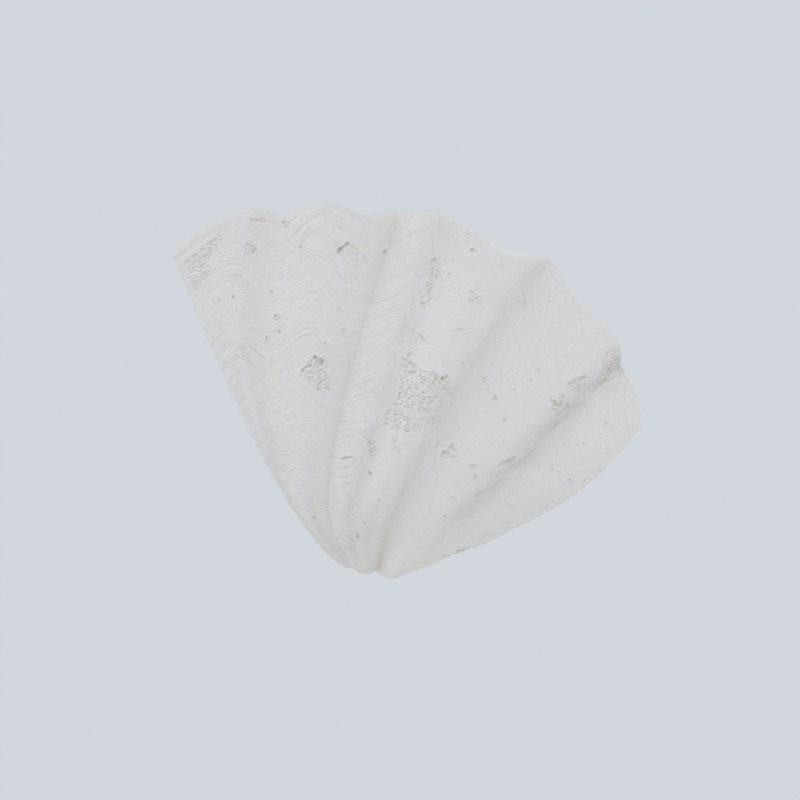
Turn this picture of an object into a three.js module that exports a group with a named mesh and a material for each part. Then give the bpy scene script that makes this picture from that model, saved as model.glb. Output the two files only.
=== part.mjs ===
import * as THREE from 'three';

// Shell corner applique: one cast plaster half shell, ribbed like a giant clam, cut to sit in the inside
// corner of a room. Millimetres, +Z up. The left wall is the plane x = 0 and the right wall is the plane
// y = 0. They meet in the Z axis, and the shell stands out from them into x > 0, y < 0.
// The origin is the lower end of the arris that fits into the corner.

// Where the rim meets the walls: reach along the wall from the corner, and height above the origin.
const leftReach = 304;
const leftHeight = 299;
const rightReach = 320;
const rightHeight = 142;
// Height of the rim's highest crest.
const crestHeight = 339;
// How far the middle of the rim stands out beyond an even sweep from one wall to the other.
const swell = 18;
// How deep the deepest groove cuts in, at the rim.
const carveDepth = 16;

// The wall of the shell: thin at the rim, solid behind the beak.
const rimThickness = 11;
const heelThickness = 46;
const heelTaper = 3;
// The edge of the rim is rounded over, and this high.
const rimRound = 2.5;
// The inside repeats the ribs more softly, by this share.
const insideShare = 0.8;

// How far the lowest knuckle of the beak hangs below an even rise, and how closely it keeps to its place.
const beakHang = 19;
const hangGrip = 8;
// Toward the right wall the underside bulges down near the tip and is straighter near the beak.
const tipRoll = 4.2;
const rollPlace = 2.1;
const rollPower = 6;
// Near the beak the lines hook round toward the right wall, over this part of their length.
const hookLength = 0.45;
// Ribs flatten toward the beak by this power of the distance from it.
const ribTaper = 1.15;
// Up to this part of its length the wall turns from upright to square with the outer face.
const leanLength = 0.35;
// The sharper the power, the narrower a creased groove.
const creasePower = 1.8;

// Ribs and grooves from the left wall to the right one. rim and foot are angles round the corner line,
// in degrees from the left wall, where the line meets the rim and where it starts. bend says how late it
// swings from one to the other, and climb is the power by which the shell rises from beak to rim. height
// is the rim's height there as a share of the highest crest. relief is how far the line stands out or
// cuts in, as a share of the deepest groove. crease runs from 0, a round groove, to 1, a sharp one.
// hang is the line's share of the beak's lowest knuckle, and hangAt how far along the line that hangs.
const plainLine = { relief: 0, crease: 0, hang: 0, hangAt: 0.1 };
const lines = [
  { name: 'left edge', rim: 0, foot: 0, bend: 1, height: leftHeight / crestHeight, climb: 1.44 },
  { name: 'shoulder', rim: 8, foot: 0.8, bend: 2, height: 0.951, climb: 1.48, relief: 0.16 },
  { name: 'rib', rim: 15, foot: 1.5, bend: 2.8, height: 0.981, climb: 1.52, relief: 0.31 },
  { name: 'groove', rim: 20.5, foot: 3.5, bend: 1.9, height: 0.957, climb: 1.6, relief: -0.31 },
  { name: 'rib', rim: 27.5, foot: 4, bend: 1, height: 1, climb: 1.7, relief: 0.44, hangAt: 0.11 },
  { name: 'flank', rim: 34, foot: 9, bend: 1.05, height: 0.955, climb: 1.75, relief: -0.15,
    hang: 0.1, hangAt: 0.12 },
  { name: 'groove', rim: 39, foot: 13, bend: 1.1, height: 0.958, climb: 1.8, relief: -0.58, crease: 0.7,
    hang: 0.2, hangAt: 0.12 },
  { name: 'rib', rim: 44, foot: 11, bend: 0.68, height: 0.974, climb: 1.85, relief: 0.3,
    hang: 0.4, hangAt: 0.13 },
  { name: 'groove', rim: 47, foot: 23.5, bend: 0.9, height: 0.957, climb: 1.9, relief: -0.05,
    hang: 0.5, hangAt: 0.14 },
  { name: 'rib', rim: 55.5, foot: 36, bend: 1.9, height: 0.885, climb: 1.93, relief: 0.47,
    hang: 0.5, hangAt: 0.16 },
  { name: 'groove', rim: 66.2, foot: 48.5, bend: 3.5, height: 0.843, climb: 1.97, relief: -1, crease: 0.75,
    hang: 0.5, hangAt: 0.18 },
  { name: 'flank', rim: 70.5, foot: 52, bend: 3.3, height: 0.757, climb: 2, relief: -0.3,
    hang: 0.75, hangAt: 0.23 },
  { name: 'rib', rim: 77, foot: 58, bend: 3, height: 0.695, climb: 2.05, relief: 0.5,
    hang: 1, hangAt: 0.275 },
  { name: 'groove', rim: 85.5, foot: 70, bend: 4.5, height: 0.57, climb: 2.15, relief: -0.85, crease: 0.8,
    hang: 0.8, hangAt: 0.28 },
  { name: 'rib', rim: 88.2, foot: 80, bend: 3, height: 0.485, climb: 2.25, relief: 0.2,
    hang: 0.4, hangAt: 0.28 },
  { name: 'right edge', rim: 90, foot: 90, bend: 1, height: rightHeight / crestHeight, climb: 2.37,
    hangAt: 0.24 },
].map((line) => ({ ...plainLine, ...line }));

// Fineness of the surface: steps from one line to the next, from beak to rim, and round the rim's edge.
const stepsBetweenLines = 4;
const stepsAlong = 30;
const stepsRound = 4;
// Steps along a line are closer near the beak by this power.
const stepPower = 1.15;

const lastLine = lines.length - 1;
const columns = lastLine * stepsBetweenLines;

// A smooth curve through one value per line, with no swing beyond them.
function smooth(values, place) {
  const slopes = values.slice(1).map((value, i) => value - values[i]);
  const tangentAt = (i) => {
    if (i === 0) return slopes[0];
    if (i === lastLine) return slopes[lastLine - 1];
    const before = slopes[i - 1];
    const after = slopes[i];
    return before * after <= 0 ? 0 : (2 * before * after) / (before + after);
  };
  const i = Math.min(Math.floor(place), lastLine - 1);
  const u = place - i;
  const ease = u * u * (3 - 2 * u);
  return values[i] + (values[i + 1] - values[i]) * ease
    + u * (1 - u) * (1 - u) * tangentAt(i) - u * u * (1 - u) * tangentAt(i + 1);
}

const lineValues = (key) => lines.map((line) => line[key]);

// Height of the carving at a place across the lines, with the creased grooves drawn in sharp.
function carving(place) {
  const i = Math.min(Math.floor(place), lastLine - 1);
  const rounded = smooth(lineValues('relief'), place);
  const sharpen = (groove, crest, away) => {
    const roundFall = away * away * (3 - 2 * away);
    return groove.crease * (groove.relief - crest.relief) * (away ** creasePower - roundFall);
  };
  const fromLeft = sharpen(lines[i + 1], lines[i], place - i);
  const fromRight = sharpen(lines[i], lines[i + 1], i + 1 - place);
  return carveDepth * (rounded + fromLeft + fromRight);
}

// What stays the same all along one column of the surface, from beak to rim.
function columnAt(place) {
  const side = smooth(lineValues('rim'), place) / 90;
  return {
    place,
    side,
    reach: leftReach + (rightReach - leftReach) * side + swell * Math.sin(Math.PI * side),
    height: crestHeight * smooth(lineValues('height'), place),
    climb: smooth(lineValues('climb'), place),
    hang: beakHang * smooth(lineValues('hang'), place),
    hangAt: smooth(lineValues('hangAt'), place),
    carved: carving(place),
  };
}

// A point of the shell, t of the way from the beak to the rim, deep below its smooth outer face and with
// share of the carving. past moves it on beyond the rim.
function pointOn(column, t, deep, share, past = 0) {
  const { place, side, reach, height, climb, hang, hangAt, carved } = column;
  const turn = smooth(lines.map((line) => line.foot + (line.rim - line.foot) * t ** line.bend), place);
  const hook = Math.max(0, 1 - t / hookLength) ** 2;
  const angle = (Math.PI / 2) * (turn / 90) ** (1 - hook);
  const sag = hang * ((t / hangAt) * Math.exp(1 - t / hangAt)) ** hangGrip;
  const roll = tipRoll * Math.sin(2 * Math.PI * t ** rollPlace) * side ** rollPower;
  // The wall is laid off square to the outer face, and straight up near the beak.
  const slope = Math.atan2(height * climb * t ** (climb - 1), reach);
  const lean = slope * THREE.MathUtils.smoothstep(t, 0, leanLength);
  const out = carved * share * t ** ribTaper - deep;
  const r = reach * t + out * Math.sin(lean) + past * Math.cos(slope);
  const z = height * t ** climb - sag + roll - out * Math.cos(lean) + past * Math.sin(slope);
  const x = place === 0 ? 0 : r * Math.sin(angle);
  const y = place === lastLine ? 0 : -r * Math.cos(angle);
  return new THREE.Vector3(x, y, z);
}

const thicknessAt = (t) => rimThickness + (heelThickness - rimThickness) * (1 - t) ** heelTaper;

// The section of the shell down one column: up the outer face, round the rim's edge, down the inner face.
function sectionAt(place) {
  const column = columnAt(place);
  const outer = [];
  const inner = [];
  for (let j = 1; j <= stepsAlong; j += 1) {
    const t = (j / stepsAlong) ** stepPower;
    outer.push(pointOn(column, t, 0, 1));
    inner.push(pointOn(column, t, thicknessAt(t), insideShare));
  }
  const edge = [];
  for (let k = 1; k < stepsRound; k += 1) {
    const around = (Math.PI * k) / stepsRound;
    const across = (1 - Math.cos(around)) / 2;
    const share = THREE.MathUtils.lerp(1, insideShare, across);
    edge.push(pointOn(column, 1, rimThickness * across, share, rimRound * Math.sin(around)));
  }
  return { outer, edge, inner };
}

// The whole shell as one closed body. Every section starts at the lower end of the arris and ends at its
// upper end, and the first and last sections are filled in flat, where the shell sits on the walls.
function shellGeometry() {
  const heelFoot = new THREE.Vector3(0, 0, 0);
  const heelTop = new THREE.Vector3(0, 0, heelThickness);
  const points = [heelFoot, heelTop];
  const faces = [];
  const rows = [];
  for (let c = 0; c <= columns; c += 1) {
    const { outer, edge, inner } = sectionAt(c / stepsBetweenLines);
    const row = [0];
    for (const point of [...outer, ...edge, ...inner.reverse()]) {
      row.push(points.length);
      points.push(point);
    }
    row.push(1);
    rows.push(row);
  }
  const last = rows[0].length - 1;
  const addQuad = (a, b, c, d) => {
    if (a !== b) faces.push(a, b, c);
    if (c !== d) faces.push(a, c, d);
  };
  for (let c = 0; c < columns; c += 1) {
    for (let k = 0; k < last; k += 1) {
      addQuad(rows[c][k], rows[c + 1][k], rows[c + 1][k + 1], rows[c][k + 1]);
    }
  }
  // The flat lands: each step of the outer face is joined to the same step of the inner face.
  for (let k = 0; k < Math.floor(last / 2); k += 1) {
    const [left, right] = [rows[0], rows[columns]];
    addQuad(left[k], left[k + 1], left[last - k - 1], left[last - k]);
    addQuad(right[last - k], right[last - k - 1], right[k + 1], right[k]);
  }
  const geometry = new THREE.BufferGeometry();
  geometry.setAttribute('position', new THREE.Float32BufferAttribute(points.flatMap((p) => p.toArray()), 3));
  geometry.setIndex(faces);
  geometry.computeVertexNormals();
  return geometry;
}

const plaster = new THREE.MeshStandardMaterial({ color: 0xd8d5cf, roughness: 0.95, metalness: 0 });

const shell = new THREE.Mesh(shellGeometry(), plaster);
shell.name = 'plaster_shell';

const applique = new THREE.Group();
applique.name = 'shell_corner_applique';
applique.add(shell);

export default applique;
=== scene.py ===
import math
import bpy
import numpy as np
from mathutils import Matrix, Vector


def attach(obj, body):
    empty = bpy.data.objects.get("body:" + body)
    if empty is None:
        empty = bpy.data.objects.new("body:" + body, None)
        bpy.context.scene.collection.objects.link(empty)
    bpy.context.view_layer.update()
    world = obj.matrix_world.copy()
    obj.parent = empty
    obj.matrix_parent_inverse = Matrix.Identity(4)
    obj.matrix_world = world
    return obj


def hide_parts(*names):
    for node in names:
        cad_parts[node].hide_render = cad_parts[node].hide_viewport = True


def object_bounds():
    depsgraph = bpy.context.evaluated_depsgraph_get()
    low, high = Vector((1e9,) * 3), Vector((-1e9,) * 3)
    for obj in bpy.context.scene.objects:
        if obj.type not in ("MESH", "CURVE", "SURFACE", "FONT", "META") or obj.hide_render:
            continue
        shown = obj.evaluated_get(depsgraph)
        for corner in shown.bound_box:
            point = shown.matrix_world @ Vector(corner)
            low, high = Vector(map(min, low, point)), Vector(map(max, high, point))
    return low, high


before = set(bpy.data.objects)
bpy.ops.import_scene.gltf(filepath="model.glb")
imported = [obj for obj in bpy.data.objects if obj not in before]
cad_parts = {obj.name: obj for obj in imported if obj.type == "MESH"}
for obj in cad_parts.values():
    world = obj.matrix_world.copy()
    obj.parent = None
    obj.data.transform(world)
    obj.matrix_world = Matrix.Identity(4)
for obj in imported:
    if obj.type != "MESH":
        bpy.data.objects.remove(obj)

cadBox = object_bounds()
mm = 0.001
scene = bpy.context.scene

# The photo's view: pixels of the 800 px picture, and the corner line's column in it.
view = {
    "azimuth": 30,            # degrees off the right wall's square
    "distance": 2.5,          # metres to the corner line
    "focal": 2500,            # pixels
    "cornerColumn": 348,
    "eyeHeight": 0.168,       # metres above the origin
    "picture": 800,
    "sensor": 36,
}

# The shell's form, as the solid has it, in millimetres and degrees.
shell = {
    "leftReach": 304, "leftHeight": 299, "rightReach": 320, "rightHeight": 142, "crestHeight": 339,
    "swell": 18, "carveDepth": 16, "creasePower": 1.8,
    "rimThickness": 11, "heelThickness": 46, "heelTaper": 3, "rimRound": 2.5, "insideShare": 0.8,
    "beakHang": 19, "hangGrip": 8, "tipRoll": 4.2, "rollPlace": 2.1, "rollPower": 6,
    "hookLength": 0.45, "ribTaper": 1.15, "leanLength": 0.35,
    "alongLength": 430,       # millimetres from beak to rim over the surface
    "firstRow": 0.012,        # share of the way to the rim where the first row above the beak's point lies
    # steps across the shell, up the outer face, round the rim's edge and down the inside
    "columns": 720, "outerRows": 500, "edgeRows": 8, "innerRows": 40,
    "triangles": 194000,      # that thinning leaves
}
# Each line from beak to rim, from the left wall to the right one. rim and foot are its angles at the rim and
# at the beak, and bend says how late it swings between them. height is the rim's height as a share of the
# highest crest, and climb the power by which the line rises to it. relief is how far it stands out or cuts
# in, as a share of the deepest groove, and crease runs from 0, round, to 1, sharp. hang is its share of the
# beak's lowest knuckle, which hangs at hangAt. crest and arch, in millimetres, shape the growth lines.
lineKeys = ("rim", "foot", "bend", "height", "climb", "relief", "crease", "hang", "hangAt", "crest", "arch")
leftShare = shell["leftHeight"] / shell["crestHeight"]
rightShare = shell["rightHeight"] / shell["crestHeight"]
shellLines = [dict(zip(lineKeys, line)) for line in (
    (0, 0, 1, leftShare, 1.44, 0, 0, 0, 0.1, 0.3, 7),                     # left edge
    (8, 0.8, 2, 0.951, 1.48, 0.16, 0, 0, 0.1, 0.6, 7),                    # shoulder
    (15, 1.5, 2.8, 0.981, 1.52, 0.31, 0, 0, 0.1, 1, 4),                   # first rib
    (20.5, 3.5, 1.9, 0.957, 1.6, -0.31, 0, 0, 0.1, 0, -4),                # groove
    (27.5, 4, 1, 1, 1.7, 0.44, 0, 0, 0.11, 1, 9),                         # second rib
    (34, 9, 1.05, 0.955, 1.75, -0.15, 0, 0.1, 0.12, 0.25, -1),            # flank
    (39, 13, 1.1, 0.958, 1.8, -0.58, 0.7, 0.2, 0.12, 0, -3),              # groove
    (44, 11, 0.68, 0.974, 1.85, 0.3, 0, 0.4, 0.13, 1, 6),                 # third rib
    (47, 23.5, 0.9, 0.957, 1.9, -0.05, 0, 0.5, 0.14, 0.2, -8),            # groove
    (55.5, 36, 1.9, 0.885, 1.93, 0.47, 0, 0.5, 0.16, 1, 3),               # fourth rib
    (66.2, 48.5, 3.5, 0.843, 1.97, -1, 0.75, 0.5, 0.18, 0, -6),           # deepest groove
    (70.5, 52, 3.3, 0.757, 2, -0.3, 0, 0.75, 0.23, 0.5, 2),               # flank
    (77, 58, 3, 0.695, 2.05, 0.5, 0, 1, 0.275, 1, 6),                     # fifth rib
    (85.5, 70, 4.5, 0.57, 2.15, -0.85, 0.8, 0.8, 0.28, 0, -5),            # groove
    (88.2, 80, 3, 0.485, 2.25, 0.2, 0, 0.4, 0.28, 0.7, 0),                # sixth rib
    (90, 90, 1, rightShare, 2.37, 0, 0, 0, 0.24, 0.5, -2),                # right edge
)]
lastLine = len(shellLines) - 1
# A place across the shell is counted in lines, from 0 at the left edge.
secondRib, thirdRib, deepestGroove = 4, 7, 10


# A smooth curve through one value per line. Values may be arrays of their own.
def smoothAlong(values, place):
    slopes = [b - a for a, b in zip(values, values[1:])]
    tangents = [slopes[0]]
    for before, after in zip(slopes, slopes[1:]):
        total = before + after
        safe = np.where(np.abs(total) < 1e-9, 1, total)
        tangents.append(np.where(before * after <= 0, 0, 2 * before * after / safe))
    tangents.append(slopes[-1])
    out = np.zeros(np.broadcast(place, values[0]).shape)
    cell = np.clip(np.floor(place), 0, lastLine - 1)
    for i in range(lastLine):
        u = place - i
        ease = u * u * (3 - 2 * u)
        curve = (values[i] + slopes[i] * ease
                 + u * (1 - u) ** 2 * tangents[i] - u * u * (1 - u) * tangents[i + 1])
        out = np.where(cell == i, curve, out)
    return out


def lineValue(key, place):
    return smoothAlong([line[key] for line in shellLines], place)


# Height of the carving across the lines, with the creased grooves drawn in sharp.
def carvingAt(place):
    carved = lineValue("relief", place)
    cell = np.clip(np.floor(place), 0, lastLine - 1)
    for i, (left, right) in enumerate(zip(shellLines, shellLines[1:])):
        for groove, crest, away in ((right, left, place - i), (left, right, i + 1 - place)):
            away = np.clip(away, 0, 1)
            sharpen = away ** shell["creasePower"] - away * away * (3 - 2 * away)
            drop = groove["crease"] * (groove["relief"] - crest["relief"])
            carved = carved + np.where(cell == i, drop * sharpen, 0)
    return shell["carveDepth"] * carved


def smoothstep(x, low, high):
    x = np.clip((x - low) / (high - low), 0, 1)
    return x * x * (3 - 2 * x)


# Points of the shell in millimetres, and the direction in which its outer face looks.
def formPoints(place, t, deep, share, past):
    side = lineValue("rim", place) / 90
    reach = (shell["leftReach"] + (shell["rightReach"] - shell["leftReach"]) * side
             + shell["swell"] * np.sin(np.pi * side))
    height = shell["crestHeight"] * lineValue("height", place)
    climb = lineValue("climb", place)
    turns = [line["foot"] + (line["rim"] - line["foot"]) * t ** line["bend"] for line in shellLines]
    hook = np.maximum(0, 1 - t / shell["hookLength"]) ** 2
    angle = np.pi / 2 * np.clip(smoothAlong(turns, place) / 90, 0, 1) ** (1 - hook)
    along = t / lineValue("hangAt", place)
    sag = shell["beakHang"] * lineValue("hang", place) * (along * np.exp(1 - along)) ** shell["hangGrip"]
    roll = shell["tipRoll"] * np.sin(2 * np.pi * t ** shell["rollPlace"]) * side ** shell["rollPower"]
    slope = np.arctan2(height * climb * np.maximum(t, 1e-6) ** (climb - 1), reach)
    lean = slope * smoothstep(t, 0, shell["leanLength"])
    out = carvingAt(place) * share * t ** shell["ribTaper"] - deep
    r = reach * t + out * np.sin(lean) + past * np.cos(slope)
    z = height * t ** climb - sag + roll - out * np.cos(lean) + past * np.sin(slope)
    points = np.stack([r * np.sin(angle), -r * np.cos(angle), z], axis=-1)
    facing = np.stack([np.sin(lean) * np.sin(angle), -np.sin(lean) * np.cos(angle), -np.cos(lean)], axis=-1)
    for field in (points, facing):
        field[place <= 0, 0] = 0
        field[place >= lastLine, 1] = 0
    return points, facing


# Where points in millimetres fall in the photo, in its pixels.
def pictureOf(points):
    a = math.radians(view["azimuth"])
    across = points[..., 0] * math.cos(a) + points[..., 1] * math.sin(a)
    toward = points[..., 0] * math.sin(a) - points[..., 1] * math.cos(a)
    depth = view["distance"] / mm - toward
    middle = view["picture"] / 2
    shift = (middle - view["cornerColumn"]) * view["distance"] / mm / view["focal"]
    column = middle + (across - shift) * view["focal"] / depth
    row = middle - (points[..., 2] - view["eyeHeight"] / mm) * view["focal"] / depth
    return column, row


# Soft random field through space, about -1 to 1, the same every run.
def spaceNoise(points, size, seed):
    cells = 32
    table = np.random.RandomState(seed).uniform(-1, 1, (cells, cells, cells))
    scaled = points / np.asarray(size, float) + 100
    base = np.floor(scaled).astype(int)
    f = scaled - base
    f = f * f * (3 - 2 * f)
    total = 0
    for dx in (0, 1):
        for dy in (0, 1):
            for dz in (0, 1):
                weight = (np.abs(1 - dx - f[..., 0]) * np.abs(1 - dy - f[..., 1])
                          * np.abs(1 - dz - f[..., 2]))
                x, y, z = ((base[..., axis] + step) % cells for axis, step in enumerate((dx, dy, dz)))
                total = total + weight * table[x, y, z]
    return total


# What time and the mould left on the plaster, and the painted shade laid in its creases, pits and chips.
# Places are pixels of the photo, sizes are millimetres.
marks = {
    # growth lines: spacing at the beak, spacing at the rim, depth, seed
    "bands": (8, 14, 1.3, 7), "lines": (4.5, 6, 0.8, 19),
    "lineRoundness": 0.6,     # power of a line's section
    "weakestLine": 0.25,      # as a share of the strongest
    # where the bands stand out most: place across the lines, share of the way to the rim, amount
    "scallops": [(thirdRib, 0.6, 1), (secondRib, 0.42, 0.9)],
    # depth, how many to one line across, how many from beak to rim, seed
    "striations": (0.5, 12, 14, 9),
    "rimWear": 1.3,           # most that the rim has lost
    # soft random fields: size in millimetres, strength, seed
    "fields": {
        "swells": (38, 0.9, 3), "lumps": (11, 0.45, 4), "grit": (4.5, 0.2, 18), "inside": (16, 0.35, 21),
        "lineWander": (60, 3, 5), "lineWobble": (13, 1.1, 6), "lineFade": (26, 0.5, 8),
        "striated": (40, 1, 23), "rimWaves": (14, 0.5, 25), "rimNicks": (4, 0.35, 26),
        "patchColumn": (6, 2.5, 10), "patchRow": (6, 2.5, 11),
        "gathered": (5, 0.5, 22), "crumbs": (1.7, 0.45, 13),
        "chipColumn": (4, 2, 14), "chipRow": (4, 2, 15), "chipDepth": (3, 1, 16),
        "nickColumn": (1.9, 0.4, 29), "nickRow": (1.9, 0.4, 30),
        "dustClouds": (9, 0.6, 27), "dustSpecks": (3, 0.4, 28),
    },
    "flakes": {"length": 3, "width": 1.3, "depth": 0.9, "dirt": 0.27, "seed": 12},
    "pitRing": 0.6,           # height of the raised ring round a pit
    "pitSink": 1.3,           # a pit goes this many times as deep as listed
    # dust with painted shade in the creases and toward the beak
    "dustAndShade": [
        # place across the lines, width, share of the way from beak to rim where it starts and ends, amount
        (2.1, 0.5, 0.15, 1.1, 0.09), (4.2, 0.6, 0, 0.45, 0.1), (5.9, 0.3, 0.2, 1.1, 0.08),
        (8.9, 0.4, 0, 0.5, 0.14), (9.75, 0.3, 0.15, 1.1, 0.15), (12.8, 0.38, 0.5, 1.1, 0.38),
        (12, 0.6, 0, 0.3, 0.1),
    ],
    "roughPatches": [
        # outline, depth, grain, softness of its border in pixels
        ([(404, 358), (425, 374), (447, 379), (453, 392), (434, 428), (405, 434), (378, 424), (394, 402)],
         0.3, 1.0, 3),
        ([(303, 372), (316, 358), (327, 358), (331, 391), (318, 392), (309, 384)], 0.4, 0.8, 2),
        ([(183, 262), (204, 248), (221, 233), (224, 240), (212, 258), (211, 284), (196, 292), (185, 276)],
         0.1, 0.5, 3),
        ([(466, 292), (480, 291), (483, 303), (470, 307)], 0.1, 0.6, 2.5),
        ([(430, 256), (440, 258), (444, 268), (432, 290), (428, 308), (418, 306), (427, 280)],
         0.1, 0.6, 3),
        ([(568, 380), (584, 376), (586, 389), (570, 394)], 0.3, 0.8, 2.5),
        ([(550, 398), (566, 394), (570, 408), (556, 418)], 0.3, 0.8, 2.5),
        ([(604, 352), (622, 342), (626, 370), (612, 382), (596, 388)], 0.2, 0.8, 3),
        ([(441, 457), (454, 442), (456, 457), (448, 458)], 0.9, 0.8, 1),
        ([(367, 437), (376, 436), (378, 458), (369, 461)], 0.15, 0.8, 2),
        ([(390, 432), (399, 431), (400, 455), (393, 453)], 0.1, 0.6, 2.5),
        ([(246, 244), (252, 240), (258, 250), (256, 256), (245, 254)], 0.15, 0.6, 2),
        ([(404, 344), (410, 346), (411, 358), (405, 358)], 0.2, 0.6, 2),
        ([(440, 556), (472, 545), (473, 553), (442, 562)], 0.3, 0.8, 1.5),
        ([(272, 312), (282, 314), (284, 332), (276, 334)], 0.1, 0.5, 2.5),
    ],
    "pits": [
        # column, row, radius, depth, and for two long ones their turn in radians and flatness
        (473, 251, 3.6, 2.0), (495, 399, 3.8, 1.6), (504, 421, 3.4, 1.3), (473, 467, 3.0, 1.2),
        (475, 478, 2.2, 1.0), (459, 483, 1.8, 0.9), (453, 497, 1.8, 0.9), (445, 517, 1.8, 0.9),
        (605, 425, 2.6, 1.4), (571, 481, 1.9, 1.0), (585, 481, 1.9, 1.0), (600, 471, 1.8, 0.9),
        (511, 505, 2.0, 1.0), (559, 472, 1.8, 0.8), (507, 528, 1.6, 0.8), (487, 533, 1.6, 0.8),
        (358, 537, 2.0, 1.1), (365, 523, 1.5, 0.8), (379, 499, 1.6, 0.8), (315, 517, 1.6, 0.8),
        (284, 222, 1.9, 1.0), (233, 297, 2.0, 1.0), (271, 292, 1.8, 0.9), (276, 316, 2.0, 1.0),
        (280, 331, 2.0, 0.9), (267, 337, 1.8, 0.9), (301, 247, 1.8, 0.9), (339, 309, 1.6, 0.8),
        (344, 330, 1.6, 0.8), (325, 343, 2.0, 1.1), (525, 304, 2.0, 1.0), (443, 380, 3.0, 1.6),
        (514, 390, 1.6, 0.8), (462, 364, 1.6, 0.7), (450, 274, 1.6, 0.7), (385, 252, 2.0, 1.0),
        (539, 371, 1.8, 0.8), (531, 381, 1.8, 0.8), (484, 380, 2.2, 0.9), (502, 266, 1.6, 1.0),
        (546, 506, 1.6, 0.8), (553, 466, 1.5, 0.7), (583, 444, 1.5, 0.6), (562, 438, 1.4, 0.6),
        (506.5, 463, 8.5, 2.6, -0.44, 0.28), (371.5, 475.5, 4.5, 1.4, 0.95, 0.4),
    ],
    "strokes": [
        # from, to, width, depth
        ((404, 358), (425, 373), 1.4, 1.2), ((425, 373), (436, 375), 1.8, 1.6),
        ((436, 379), (447, 377), 1.8, 1.8), ((303, 371), (316, 357), 1.3, 1.2),
        ((316, 357), (324, 364), 1.3, 1.2), ((339, 250), (346, 243), 1.4, 1.2),
        ((346, 243), (357, 249), 1.4, 1.2), ((193, 257), (207, 246), 1.1, 0.8),
        ((207, 246), (220, 234), 1.1, 0.8), ((249, 219), (262, 221), 1.3, 1.0),
        ((245, 243), (257, 250), 1.3, 1.0), ((441, 457), (455, 443), 1.2, 1.3),
        ((434, 446), (439, 441), 1.1, 0.8), ((343, 459), (352, 457), 1.4, 1.2),
        ((412, 329), (420, 336), 1.2, 0.9), ((418, 334), (428, 344), 1.2, 0.9),
        ((449, 332), (468, 329), 1.2, 0.8), ((471, 291), (481, 290), 1.2, 0.9),
        ((551, 399), (562, 408), 1.3, 1.1), ((568, 384), (585, 378), 1.3, 1.0),
        ((234, 350), (250, 347), 1.0, 0.6), ((250, 347), (263, 357), 1.0, 0.6),
        ((441, 559), (470, 549), 1.6, 1.3), ((338, 252), (345, 246), 1.2, 1.0),
        ((455, 223), (464, 229), 1.2, 0.8), ((466, 231), (478, 238), 1.2, 0.7),
        ((480, 240), (492, 246), 1.2, 0.7), ((255, 216), (268, 221), 1.2, 0.7),
    ],
    # soft folds near the rim, right of the deepest groove
    "folds": [
        ((576, 308), (582, 330), 1.6, 0.5), ((582, 330), (590, 350), 1.6, 0.5),
        ((590, 350), (597, 362), 1.6, 0.4), ((546, 304), (561, 322), 1.5, 0.4),
        ((549, 272), (571, 302), 1.5, 0.45), ((600, 335), (612, 352), 1.5, 0.4),
    ],
}


# 1 inside an outline of picture points, with an edge this soft in pixels.
def insideOutline(outline, column, row, soft):
    inside = np.zeros(column.shape, bool)
    nearest = np.full(column.shape, 1e9)
    for (x0, y0), (x1, y1) in zip(outline, outline[1:] + outline[:1]):
        crosses = (y0 > row) != (y1 > row)
        at = (x1 - x0) * (row - y0) / np.where(y1 == y0, 1e-9, y1 - y0) + x0
        inside ^= crosses & (column < at)
        nearest = np.minimum(nearest, strokeDistance((x0, y0), (x1, y1), column, row))
    return smoothstep(np.where(inside, nearest, -nearest), -soft, soft)


def strokeDistance(start, end, column, row):
    dx, dy = end[0] - start[0], end[1] - start[1]
    u = np.clip(((column - start[0]) * dx + (row - start[1]) * dy) / (dx * dx + dy * dy), 0, 1)
    return np.hypot(column - start[0] - u * dx, row - start[1] - u * dy)


# 1 at the middle, falling off evenly on both sides.
def bell(value, middle, width):
    return np.exp(-((value - middle) / width) ** 2)


# One of the soft random fields named in marks, at its own size and strength.
def softField(name, points):
    size, strength, seed = marks["fields"][name]
    return strength * spaceNoise(points, size, seed)


# Growth lines: bands of uneven strength with a thin cut between them.
def growthLines(along, name):
    atBeak, atRim, depth, seed = marks[name]
    spread, length = atRim - atBeak, shell["alongLength"]
    phase = length / spread * np.log(atBeak + spread * np.clip(along / length, 0, 2))
    number = np.floor(phase).astype(int)
    part = phase - number
    drawn = 512
    strengths = np.random.RandomState(seed).uniform(marks["weakestLine"], 1, drawn)
    strength = strengths[number % drawn] * (1 - part) + strengths[(number + 1) % drawn] * part
    return depth * strength * ((4 * part * (1 - part)) ** marks["lineRoundness"] - 0.5)


# Relief of the growth lines, the distance from the beak that they follow, and how clearly the finest show.
def growthRelief(place, t, points):
    crest = lineValue("crest", place)
    # they arch over the crests
    arch = lineValue("arch", place) * (0.5 + 0.8 * t) * smoothstep(t, 0.04, 0.2)
    growing = t * shell["alongLength"] - arch
    growing = growing + softField("lineWander", points) + softField("lineWobble", points)
    fade = np.clip(0.85 + softField("lineFade", points), 0.35, 1.3)
    # they are strongest on the left ribs, and toward the rim the bands reach across the grooves
    lined = 1 - 0.8 * smoothstep(place, thirdRib + 0.4, thirdRib + 1.4)
    upper = smoothstep(t, 0.5, 0.75)
    scallops = sum(amount * bell(place, rib, 0.6) * bell(t, height, 0.16)
                   for rib, height, amount in marks["scallops"])
    grown = growthLines(growing, "bands") * (0.35 + 0.65 * upper + 0.5 * crest * (1 - upper))
    grown *= lined * (1 + scallops)
    lined = lined * (0.45 + 0.55 * smoothstep(place, 0.7, 1.8))
    grown += growthLines(growing, "lines") * (0.45 + 0.75 * crest * (1 - upper)) * lined
    return grown * fade, growing, lined * fade


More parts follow.
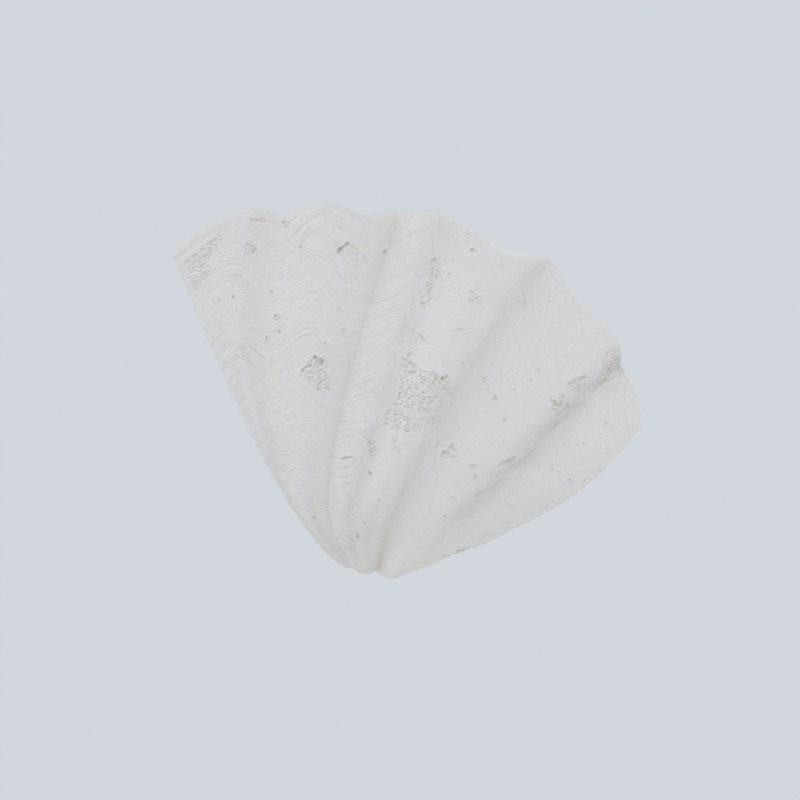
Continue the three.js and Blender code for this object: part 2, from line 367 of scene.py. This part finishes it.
# Striations run down the ribs, strongest right of the third rib's crest and left of the deepest groove.
def striationRelief(place, t, points):
    depth, acrossCount, alongCount, seed = marks["striations"]
    lengthwise = np.stack([place * acrossCount, t * alongCount, np.zeros(t.shape)], axis=-1)
    strength = bell(place, thirdRib + 0.6, 0.5) * np.clip(0.6 + softField("striated", points), 0, 1.2)
    strength += 0.12 + 1.1 * bell(place, deepestGroove - 0.28, 0.2) * smoothstep(t, 0.5, 0.8)
    return depth * strength * spaceNoise(lengthwise, 1, seed) * smoothstep(t, 0.1, 0.4)


# Patches where the skin has broken away down to flakes and crumbs.
def breakPatches(face, column, row, points):
    flake = marks["flakes"]
    raggedColumn = column + softField("patchColumn", points)
    raggedRow = row + softField("patchRow", points)
    # flakes lie in short dashes that rise to the right
    along, aside = column * 0.95 - row * 0.31, row * 0.95 + column * 0.31
    turned = np.stack([along, aside, np.zeros(row.shape)], axis=-1)
    flakes = spaceNoise(turned, (flake["length"], flake["width"], 1), flake["seed"])
    flakes = np.clip(-flakes * 1.8 - 0.25 + softField("gathered", points), 0, 1)
    ground = flakes * flake["depth"] + softField("crumbs", points)
    for outline, depth, grain, soft in marks["roughPatches"]:
        mask = insideOutline(outline, raggedColumn, raggedRow, soft)
        face["relief"] -= mask * (depth + grain * ground)
        # the deepest flakes are darkened: dirt with painted shade in their hollows
        face["dirt"] = np.maximum(face["dirt"], flake["dirt"] * mask * flakes ** 2)
        face["rough"] = np.maximum(face["rough"], mask * min(1, grain + 0.3))


# Chips and soft folds, as strokes across the surface.
def cutStrokes(face, column, row, points):
    wobbleColumn = column + softField("chipColumn", points) + softField("nickColumn", points)
    wobbleRow = row + softField("chipRow", points) + softField("nickRow", points)
    broken = np.clip(0.85 + softField("chipDepth", points), 0.1, 1.3)
    for start, end, width, depth in marks["strokes"]:
        distance = strokeDistance(start, end, wobbleColumn, wobbleRow)
        cut = bell(distance, 0, width) * broken
        border = 0.3 * depth * bell(distance, 2.2 * width, width)
        face["relief"] += border - depth * cut
        # the chip's cut is darkened: painted shade in it, with some dirt
        soilAndShade = min(0.5, 0.5 * depth)
        face["dirt"] = np.maximum(face["dirt"], soilAndShade * cut)
        face["rough"] = np.maximum(face["rough"], soilAndShade * bell(distance, 0, 2.5 * width))
    for start, end, width, depth in marks["folds"]:
        face["relief"] -= depth * bell(strokeDistance(start, end, wobbleColumn, wobbleRow), 0, width)


# Pits, each with its own turn and flatness.
def sinkPits(face, column, row, points):
    shapes = np.random.RandomState(33)
    for x, y, radius, depth, *lie in marks["pits"]:
        turn, flatness = lie or (shapes.uniform(0, np.pi), shapes.uniform(0.45, 0.9))
        close = np.abs(column - x) + np.abs(row - y) < 8 * radius
        dx, dy = column[close] - x, row[close] - y
        along = dx * np.cos(turn) + dy * np.sin(turn)
        aside = dy * np.cos(turn) - dx * np.sin(turn)
        wobble = 1 + 0.6 * spaceNoise(points[close] + x, radius, 17)
        away = np.hypot(along, aside / flatness) / (radius * wobble)
        cut = np.exp(-away ** 5)
        ring = marks["pitRing"] * min(1, 2 / radius) * bell(away, 1.5, 0.5)
        face["relief"][close] += ring - marks["pitSink"] * depth * cut
        # painted shadow, with some dirt, lies under the upper edge, where the pit's wall is turned from the
        # light
        upperWallShade = np.clip(0.45 - (0.4 * dx + 0.9 * dy) / radius, 0, 1)
        soilAndShade = min(0.9, 0.35 + 0.35 * depth) * cut * upperWallShade
        face["dirt"][close] = np.maximum(face["dirt"][close], soilAndShade)


# Dust with painted shade lies in the creases and toward the beak, and dust lies thinly along the rim.
def dustAndShadeOn(place, t, points):
    dustAndShade = 0.04 * smoothstep(t, 0.88, 0.97)
    for crease, width, low, high, amount in marks["dustAndShade"]:
        within = smoothstep(t, low - 0.1, low + 0.1) * (1 - smoothstep(t, high - 0.1, high + 0.1))
        dustAndShade = np.maximum(dustAndShade, amount * bell(place, crease, width) * within)
    return dustAndShade * np.clip(1 + softField("dustClouds", points) + softField("dustSpecks", points), 0.3, 1.6)


# The outer face: how far its fine relief stands out, and what the material needs to know of each place.
def outerFace(place, t, points):
    relief = softField("swells", points) * smoothstep(t, 0.1, 0.5) + softField("lumps", points)
    right = smoothstep(place, deepestGroove - 1.5, deepestGroove + 0.5)
    relief += softField("grit", points) * (1 + 0.7 * right)
    grown, growing, lined = growthRelief(place, t, points)
    relief += grown * smoothstep(t, 0.04, 0.12) + striationRelief(place, t, points)
    face = {"relief": relief, "dirt": np.zeros(t.shape), "rough": np.zeros(t.shape)}
    column, row = pictureOf(points)
    breakPatches(face, column, row, points)
    cutStrokes(face, column, row, points)
    sinkPits(face, column, row, points)
    # painted warm shade, with some yellowing, makes the grooves, the lower part and the hollows between
    # growth bands creamier, and painted light keeps the flank right of the deepest groove, which faces the
    # light, the palest
    litFlank = bell(place, deepestGroove + 0.9, 0.7) * smoothstep(t, 0.2, 0.4)
    creamAndShade = (0.55 * (1 - lineValue("crest", place)) + 0.5 * smoothstep(1 - t, 0.4, 0.85)
             - 0.35 * grown - 0.7 * litFlank)
    return dict(face, dustAndShade=dustAndShadeOn(place, t, points), growth=growing * mm, creamAndShade=creamAndShade, lined=lined)


def deselectAll():
    bpy.ops.object.select_all(action="DESELECT")


# In edit mode, selects only the vertices that picked marks.
def selectVertices(mesh, picked):
    bpy.ops.mesh.select_all(action="DESELECT")
    bpy.ops.object.mode_set(mode="OBJECT")
    mesh.vertices.foreach_set("select", picked)
    bpy.ops.object.mode_set(mode="EDIT")


def vertexPoints(mesh):
    points = np.empty(len(mesh.vertices) * 3)
    mesh.vertices.foreach_get("co", points)
    return points.reshape(-1, 3)


def intoBox(points):
    return np.clip(points, np.array(cadBox[0]), np.array(cadBox[1]))


# A sheet bent into the shell: its points in metres, row by row, and its attributes. The first rows run up
# the outer face, the next ones go round the rim's edge, and the last ones run down the inside.
def bendSheet(columnCount, rowCount):
    outerLast = shell["outerRows"]
    edgeLast = outerLast + shell["edgeRows"]
    lastRow = rowCount - 1
    rows = np.arange(rowCount)
    place = np.arange(columnCount) / (columnCount - 1) * lastLine

    # share of the way from beak to rim
    first = shell["firstRow"]
    t = np.where(rows <= outerLast, first + (1 - first) * (rows - 1) / (outerLast - 1), 1.0)
    t[0] = 0
    t = np.where(rows > edgeLast, (lastRow - rows) / (lastRow - edgeLast), t)
    around = np.clip((rows - outerLast) / shell["edgeRows"], 0, 1) * np.pi
    across = (1 - np.cos(around)) / 2
    onEdge = (rows > outerLast) & (rows < edgeLast)
    past = np.where(onEdge, shell["rimRound"] * np.sin(around), 0)
    thicker = shell["heelThickness"] - shell["rimThickness"]
    thickness = shell["rimThickness"] + thicker * (1 - t) ** shell["heelTaper"]
    deep = np.where(rows >= edgeLast, thickness, shell["rimThickness"] * across)
    share = 1 + (shell["insideShare"] - 1) * across

    placeGrid, tGrid = np.meshgrid(place, t)
    rim = formPoints(place, np.ones(columnCount), 0, 1, 0)[0]
    worn = np.clip(0.5 + softField("rimWaves", rim) + softField("rimNicks", rim), 0, 1)
    worn = marks["rimWear"] * worn * smoothstep(place, 0, 0.4) * smoothstep(lastLine - place, 0, 0.4)
    past = past[:, None] - worn * smoothstep(tGrid, 0.97, 1)
    points, facing = formPoints(placeGrid, tGrid, deep[:, None], share[:, None], past)

    # the outer face's last row goes on round the edge, where its relief and dirt fade out
    outside = slice(0, outerLast + 1)
    face = outerFace(placeGrid[outside], tGrid[outside], points[outside])
    for name, field in face.items():
        face[name] = np.concatenate([field, np.repeat(field[-1:], lastRow - outerLast, axis=0)])
    fade = np.where(rows > outerLast, np.clip(1 - around / np.pi * 1.6, 0, 1), 1)[:, None]
    for name in ("relief", "dirt", "dustAndShade", "rough"):
        face[name] = face[name] * fade
    # painted shade on the rim's end face, with some dust, strongest on the left where the end face turns to
    # the light
    shadedAndDusty = 1 - 0.9 * smoothstep(placeGrid, thirdRib - 0.8, thirdRib + 1.6)
    face["lip"] = ((rows > outerLast) & (rows < edgeLast + 2))[:, None] * shadedAndDusty
    face["fan"] = placeGrid
    inside = softField("inside", points) * (rows > edgeLast)[:, None] * smoothstep(tGrid, 0.05, 0.3)
    points = points + facing * (face.pop("relief") + inside)[..., None]
    points[0] = (0, 0, 0)
    points[lastRow] = (0, 0, shell["heelThickness"])
    return points * mm, face


# One closed mesh, flat where it lies on the two walls.
def makeShell():
    deselectAll()
    sections = shell["outerRows"] + shell["edgeRows"] + shell["innerRows"]
    bpy.ops.mesh.primitive_grid_add(x_subdivisions=shell["columns"], y_subdivisions=sections, size=1)
    piece = bpy.context.object
    piece.name = piece.data.name = "cast_shell"
    mesh = piece.data
    grid = np.round(vertexPoints(mesh), 6)
    column = np.unique(grid[:, 0], return_inverse=True)[1]
    row = np.unique(grid[:, 1], return_inverse=True)[1]
    lastRow = row.max()
    points, face = bendSheet(column.max() + 1, lastRow + 1)
    mesh.vertices.foreach_set("co", intoBox(points)[row, column].ravel())
    for name, field in face.items():
        layer = mesh.attributes.new(name, "FLOAT", "POINT")
        layer.data.foreach_set("value", field[row, column].astype(np.float32).ravel())
    mesh.update()
    print("shell surface laid out:", len(mesh.vertices), "vertices")

    # the first and last rows are one point each
    bpy.ops.object.mode_set(mode="EDIT")
    bpy.ops.mesh.select_mode(type="VERT")
    selectVertices(mesh, (row == 0) | (row == lastRow))
    bpy.ops.mesh.remove_doubles(threshold=0.000001)
    bpy.ops.object.mode_set(mode="OBJECT")
    closeOnWalls(mesh)
    thin = piece.modifiers.new("thin", "DECIMATE")
    triangles = sum(len(polygon.vertices) - 2 for polygon in mesh.polygons)
    thin.ratio = shell["triangles"] / triangles
    bpy.ops.object.modifier_apply(modifier="thin")
    # thinning moves a few points by some thousandths of a millimetre past the walls
    mesh.vertices.foreach_set("co", intoBox(vertexPoints(mesh)).ravel())
    bpy.ops.object.shade_smooth_by_angle(angle=math.radians(50))
    print("shell closed and thinned:", len(mesh.polygons), "faces")
    return piece


# The open ends of the sheet lie in the two walls. An edge in the corner parts them and each is filled flat.
def closeOnWalls(mesh):
    near = 1e-7
    x, y, z = np.abs(vertexPoints(mesh)).T
    onLeft, onRight = x < near, y < near
    poles = onLeft & onRight & ((z < near) | (np.abs(z - shell["heelThickness"] * mm) < near))
    bpy.ops.object.mode_set(mode="EDIT")
    for picked in (poles, onLeft | poles, onRight | poles):
        selectVertices(mesh, picked)
        bpy.ops.mesh.edge_face_add()
    bpy.ops.mesh.select_all(action="SELECT")
    bpy.ops.mesh.quads_convert_to_tris(ngon_method="BEAUTY")
    bpy.ops.mesh.normals_make_consistent(inside=False)
    bpy.ops.object.mode_set(mode="OBJECT")


# Wraps one socket of a node tree, so that shader sums read as sums.
class Value:
    def __init__(self, tree, socket):
        self.tree, self.socket = tree, socket

    # An input is named, or numbered as i0, i1 and so on.
    def node(self, kind, settings=None, **values):
        made = self.tree.nodes.new(kind)
        for key, setting in (settings or {}).items():
            setattr(made, key, setting)
        for name, value in values.items():
            target = made.inputs[int(name[1:]) if name[1:].isdigit() else name]
            if isinstance(value, Value):
                self.tree.links.new(value.socket, target)
            else:
                target.default_value = value
        return made

    def math(self, operation, other, turned=False):
        a, b = (other, self) if turned else (self, other)
        made = self.node("ShaderNodeMath", {"operation": operation}, i0=a, i1=b)
        return Value(self.tree, made.outputs[0])

    def __add__(self, other):
        return self.math("ADD", other)

    def __radd__(self, other):
        return self.math("ADD", other, True)

    def __sub__(self, other):
        return self.math("SUBTRACT", other)

    def __rsub__(self, other):
        return self.math("SUBTRACT", other, True)

    def __mul__(self, other):
        return self.math("MULTIPLY", other)

    def __rmul__(self, other):
        return self.math("MULTIPLY", other, True)

    def out(self, kind, output, settings=None, **values):
        return Value(self.tree, self.node(kind, settings, **values).outputs[output])


plaster = {
    "colour": (0.86, 0.855, 0.86, 1),
    # cream tone of the mottling, which also serves as the painted warm shade
    "creamAndShade": (0.84, 0.826, 0.785, 1),
    "lipShadeColour": (0.745, 0.737, 0.725, 1),   # painted shade on the rim's end face, with some dust
    # dust and painted shade in the creases and toward the beak
    "dustAndShadeColour": (0.55, 0.548, 0.525, 1),
    "freshColour": (0.94, 0.935, 0.92, 1),
    # dirt, and painted shade in pits, chips and crumb hollows
    "pitColour": (0.62, 0.56, 0.46, 1),
    "roughness": 0.92, "specular": 0.25,
    "lineSpacing": 4.3,       # millimetres between fine growth lines
    "scratches": 620,         # finest lines to the metre
    # patterns: waves to the metre, detail, roughness of the pattern
    "clouds": (14, 3, 0.5), "mottle": (110, 3, 0.6), "ripple": (260, 3, 0.6), "pores": (420, 2, 0.7),
    "crumbs": (800, 2, 0.6), "grain": (1 / 0.0012, 3, 0.6), "lines": (1.0, 2, 0.6),
    # how much of its colour each of these gives
    "lineDustAndShade": 0.05, "pinholeDust": 0.3, "holeDirtAndShade": 0.6, "freshness": 0.6,
    # how far each stands out in the bump
    "bumps": {"grain": 0.55, "pores": 0.85, "mottle": 1.8, "ripple": 1.1, "lines": 0.65, "cuts": 0.55,
              "crumbs": 0.5, "holes": 0.6},
}


def plasterMaterial():
    material = bpy.data.materials.new("cast plaster")
    material.use_nodes = True
    tree = material.node_tree
    shader = tree.nodes["Principled BSDF"]
    start = Value(tree, None)
    place = start.out("ShaderNodeTexCoord", "Object")

    def painted(name):
        return start.out("ShaderNodeAttribute", "Fac", {"attribute_name": name})

    def noise(scale, detail, roughness, vector=place):
        return start.out("ShaderNodeTexNoise", "Fac", Vector=vector, Scale=scale, Detail=detail,
                         Roughness=roughness)

    # 0 at low and 1 at high, also where high is the smaller of the two
    def ramp(value, low, high):
        return start.out("ShaderNodeMapRange", 0, Value=value, i1=low, i2=high, i3=0.0, i4=1.0)

    def blend(factor, first, second):
        return start.out("ShaderNodeMix", 2, {"data_type": "RGBA"}, Factor=factor, i6=first, i7=second)

    patternNames = ("clouds", "mottle", "grain", "pores", "ripple", "crumbs")
    clouds, mottle, grain, pores, ripple, crumbs = (noise(*plaster[name]) for name in patternNames)
    growth, fan, lined, rough = (painted(name) for name in ("growth", "fan", "lined", "rough"))

    # fine growth lines follow the coarse ones that the mesh has, and come and go along their length
    count = growth * (1000 / plaster["lineSpacing"]) + clouds * 2.5
    part = count.math("FRACT", 0.0)
    number = count - part
    lengthwise = start.out("ShaderNodeCombineXYZ", "Vector", X=number * 0.71, Y=fan * 0.8, Z=0.0)
    strength = ramp(noise(*plaster["lines"], lengthwise), 0.38, 0.72)
    offMiddle = (part - 0.5).math("ABSOLUTE", 0.0)
    # the growth-line cuts take painted shade in the colour, and cut into the bump
    cuts = ramp(offMiddle, 0.2, 0.5) * strength * lined
    crosswise = start.out("ShaderNodeCombineXYZ", "Vector",
                          X=growth * plaster["scratches"], Y=fan * 0.9, Z=0.0)
    fineLines = noise(*plaster["lines"], crosswise)
    # holes between the crumbs of a broken patch, and pinholes that air bubbles left in the cast
    holes = ramp(crumbs, 0.43, 0.36) * rough
    pinholes = ramp(pores, 0.37, 0.29)

    # painted warm shade in the grooves, toward the beak and in the growth-line cuts, over a random cream
    # mottling
    creamAndShadeMix = (painted("creamAndShade") * 0.7 + (clouds - 0.5) * 1.2 + (mottle - 0.5) * 1.1 + cuts * 0.35
              - (fineLines - 0.5) * 0.7 - rough * 0.6)
    base = blend(creamAndShadeMix, plaster["colour"], plaster["creamAndShade"])
    fresh = blend(rough * plaster["freshness"], base, plaster["freshColour"])
    # dust with painted shade in the creases and toward the beak, painted shade in the growth-line cuts, and
    # dust in the pinholes
    dustAndShade = painted("dustAndShade") + cuts * plaster["lineDustAndShade"] + pinholes * plaster["pinholeDust"]
    shadedAndDusty = blend(dustAndShade, fresh, plaster["dustAndShadeColour"])
    # painted shade on the rim's end face
    lipShaded = blend(painted("lip"), shadedAndDusty, plaster["lipShadeColour"])
    # dirt with painted shade in pits, chips, flakes and the holes between crumbs
    soiledAndShaded = blend(painted("dirt") + holes * plaster["holeDirtAndShade"], lipShaded, plaster["pitColour"])
    tree.links.new(soiledAndShaded.socket, shader.inputs["Base Color"])
    tree.links.new((plaster["roughness"] - 0.06 + clouds * 0.1).socket, shader.inputs["Roughness"])
    bumps = plaster["bumps"]
    height = (grain * bumps["grain"] + pores * bumps["pores"] + mottle * bumps["mottle"]
              + ripple * bumps["ripple"] + fineLines * lined * bumps["lines"] - cuts * bumps["cuts"]
              + (crumbs * bumps["crumbs"] - holes * bumps["holes"]) * rough)
    bump = start.node("ShaderNodeBump", Strength=0.8, Distance=0.001, Height=height)
    tree.links.new(bump.outputs["Normal"], shader.inputs["Normal"])
    shader.inputs["Specular IOR Level"].default_value = plaster["specular"]
    return material


castShell = makeShell()
castShell.data.materials.append(plasterMaterial())
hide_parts("plaster_shell")
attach(castShell, "root")
print("plaster shell done")

# Stage: a plain pale floor well below the hung shell, a plain pale surround and soft light.
stage = {
    "floorDrop": 1.2, "floorRadius": 3,
    "floorColour": (0.78, 0.79, 0.8, 1), "floorRoughness": 0.9,
    "surround": (0.644, 0.676, 0.723, 1),   # seen behind the shell
    # light from all round, brightest from one side: right, toward the camera, up
    "roomBright": (0.838, 0.838, 0.85, 1), "roomDim": (0.695, 0.687, 0.683, 1),
    "brightSide": (-0.3, 0.5, 0.6),
    "lampTarget": (0.03, 0.15, 0.17),      # in the same directions, metres
    # name, right, toward the camera, up, size, power, colour
    "lamps": [
        ("key", -1.8, 1.2, 1.3, 0.8, 8, (0.88, 0.92, 1)),
        ("fill", 2.0, 1.4, 0.4, 2.0, 5, (0.92, 0.94, 1)),
    ],
}


def makeStage():
    deselectAll()
    bpy.ops.mesh.primitive_circle_add(vertices=96, radius=stage["floorRadius"], fill_type="NGON",
                                      location=(0, 0, -stage["floorDrop"]))
    floor = bpy.context.object
    floor.name = "floor"
    bpy.ops.object.transform_apply(location=True)
    material = bpy.data.materials.new("plain floor")
    material.use_nodes = True
    shader = material.node_tree.nodes["Principled BSDF"]
    shader.inputs["Base Color"].default_value = stage["floorColour"]
    shader.inputs["Roughness"].default_value = stage["floorRoughness"]
    floor.data.materials.append(material)
    world = bpy.data.worlds.new("surround")
    scene.world = world
    world.use_nodes = True
    start = Value(world.node_tree, None)
    bright = (viewAxes() @ Vector(stage["brightSide"])).normalized()
    direction = start.out("ShaderNodeTexCoord", "Generated")
    toward = start.out("ShaderNodeVectorMath", "Value", {"operation": "DOT_PRODUCT"},
                       i0=direction, i1=bright)
    room = start.out("ShaderNodeMix", 2, {"data_type": "RGBA"}, Factor=toward * 0.5 + 0.5,
                     i6=stage["roomDim"], i7=stage["roomBright"])
    seen = start.out("ShaderNodeLightPath", "Is Camera Ray")
    colour = start.out("ShaderNodeMix", 2, {"data_type": "RGBA"}, Factor=seen,
                       i6=room, i7=stage["surround"])
    world.node_tree.links.new(colour.socket, world.node_tree.nodes["Background"].inputs["Color"])


# Axes of the view: right, toward the camera and up, as columns.
def viewAxes():
    a = math.radians(view["azimuth"])
    return Matrix(((math.cos(a), math.sin(a), 0), (math.sin(a), -math.cos(a), 0), (0, 0, 1)))


def makeLamps():
    axes = viewAxes()
    for name, right, toward, up, size, power, colour in stage["lamps"]:
        bpy.ops.object.light_add(type="AREA")
        lamp = bpy.context.object
        lamp.name = name
        lamp.data.size, lamp.data.energy, lamp.data.color = size, power, colour
        target = axes @ Vector(stage["lampTarget"])
        lamp.location = axes @ Vector((right, toward, up))
        lamp.rotation_mode = "QUATERNION"
        lamp.rotation_quaternion = (lamp.location - target).to_track_quat("Z", "Y")


def makeCamera():
    axes = viewAxes()
    bpy.ops.object.camera_add()
    camera = bpy.context.object
    sideways = (view["picture"] / 2 - view["cornerColumn"]) * view["distance"] / view["focal"]
    camera.location = axes @ Vector((sideways, view["distance"], view["eyeHeight"]))
    camera.rotation_euler = (math.radians(90), 0, math.radians(view["azimuth"]))
    camera.data.sensor_width = view["sensor"]
    camera.data.lens = view["focal"] * view["sensor"] / view["picture"]
    scene.camera = camera


makeStage()
makeLamps()
makeCamera()
scene.view_settings.view_transform = "Standard"
print("stage, lamps and camera done")
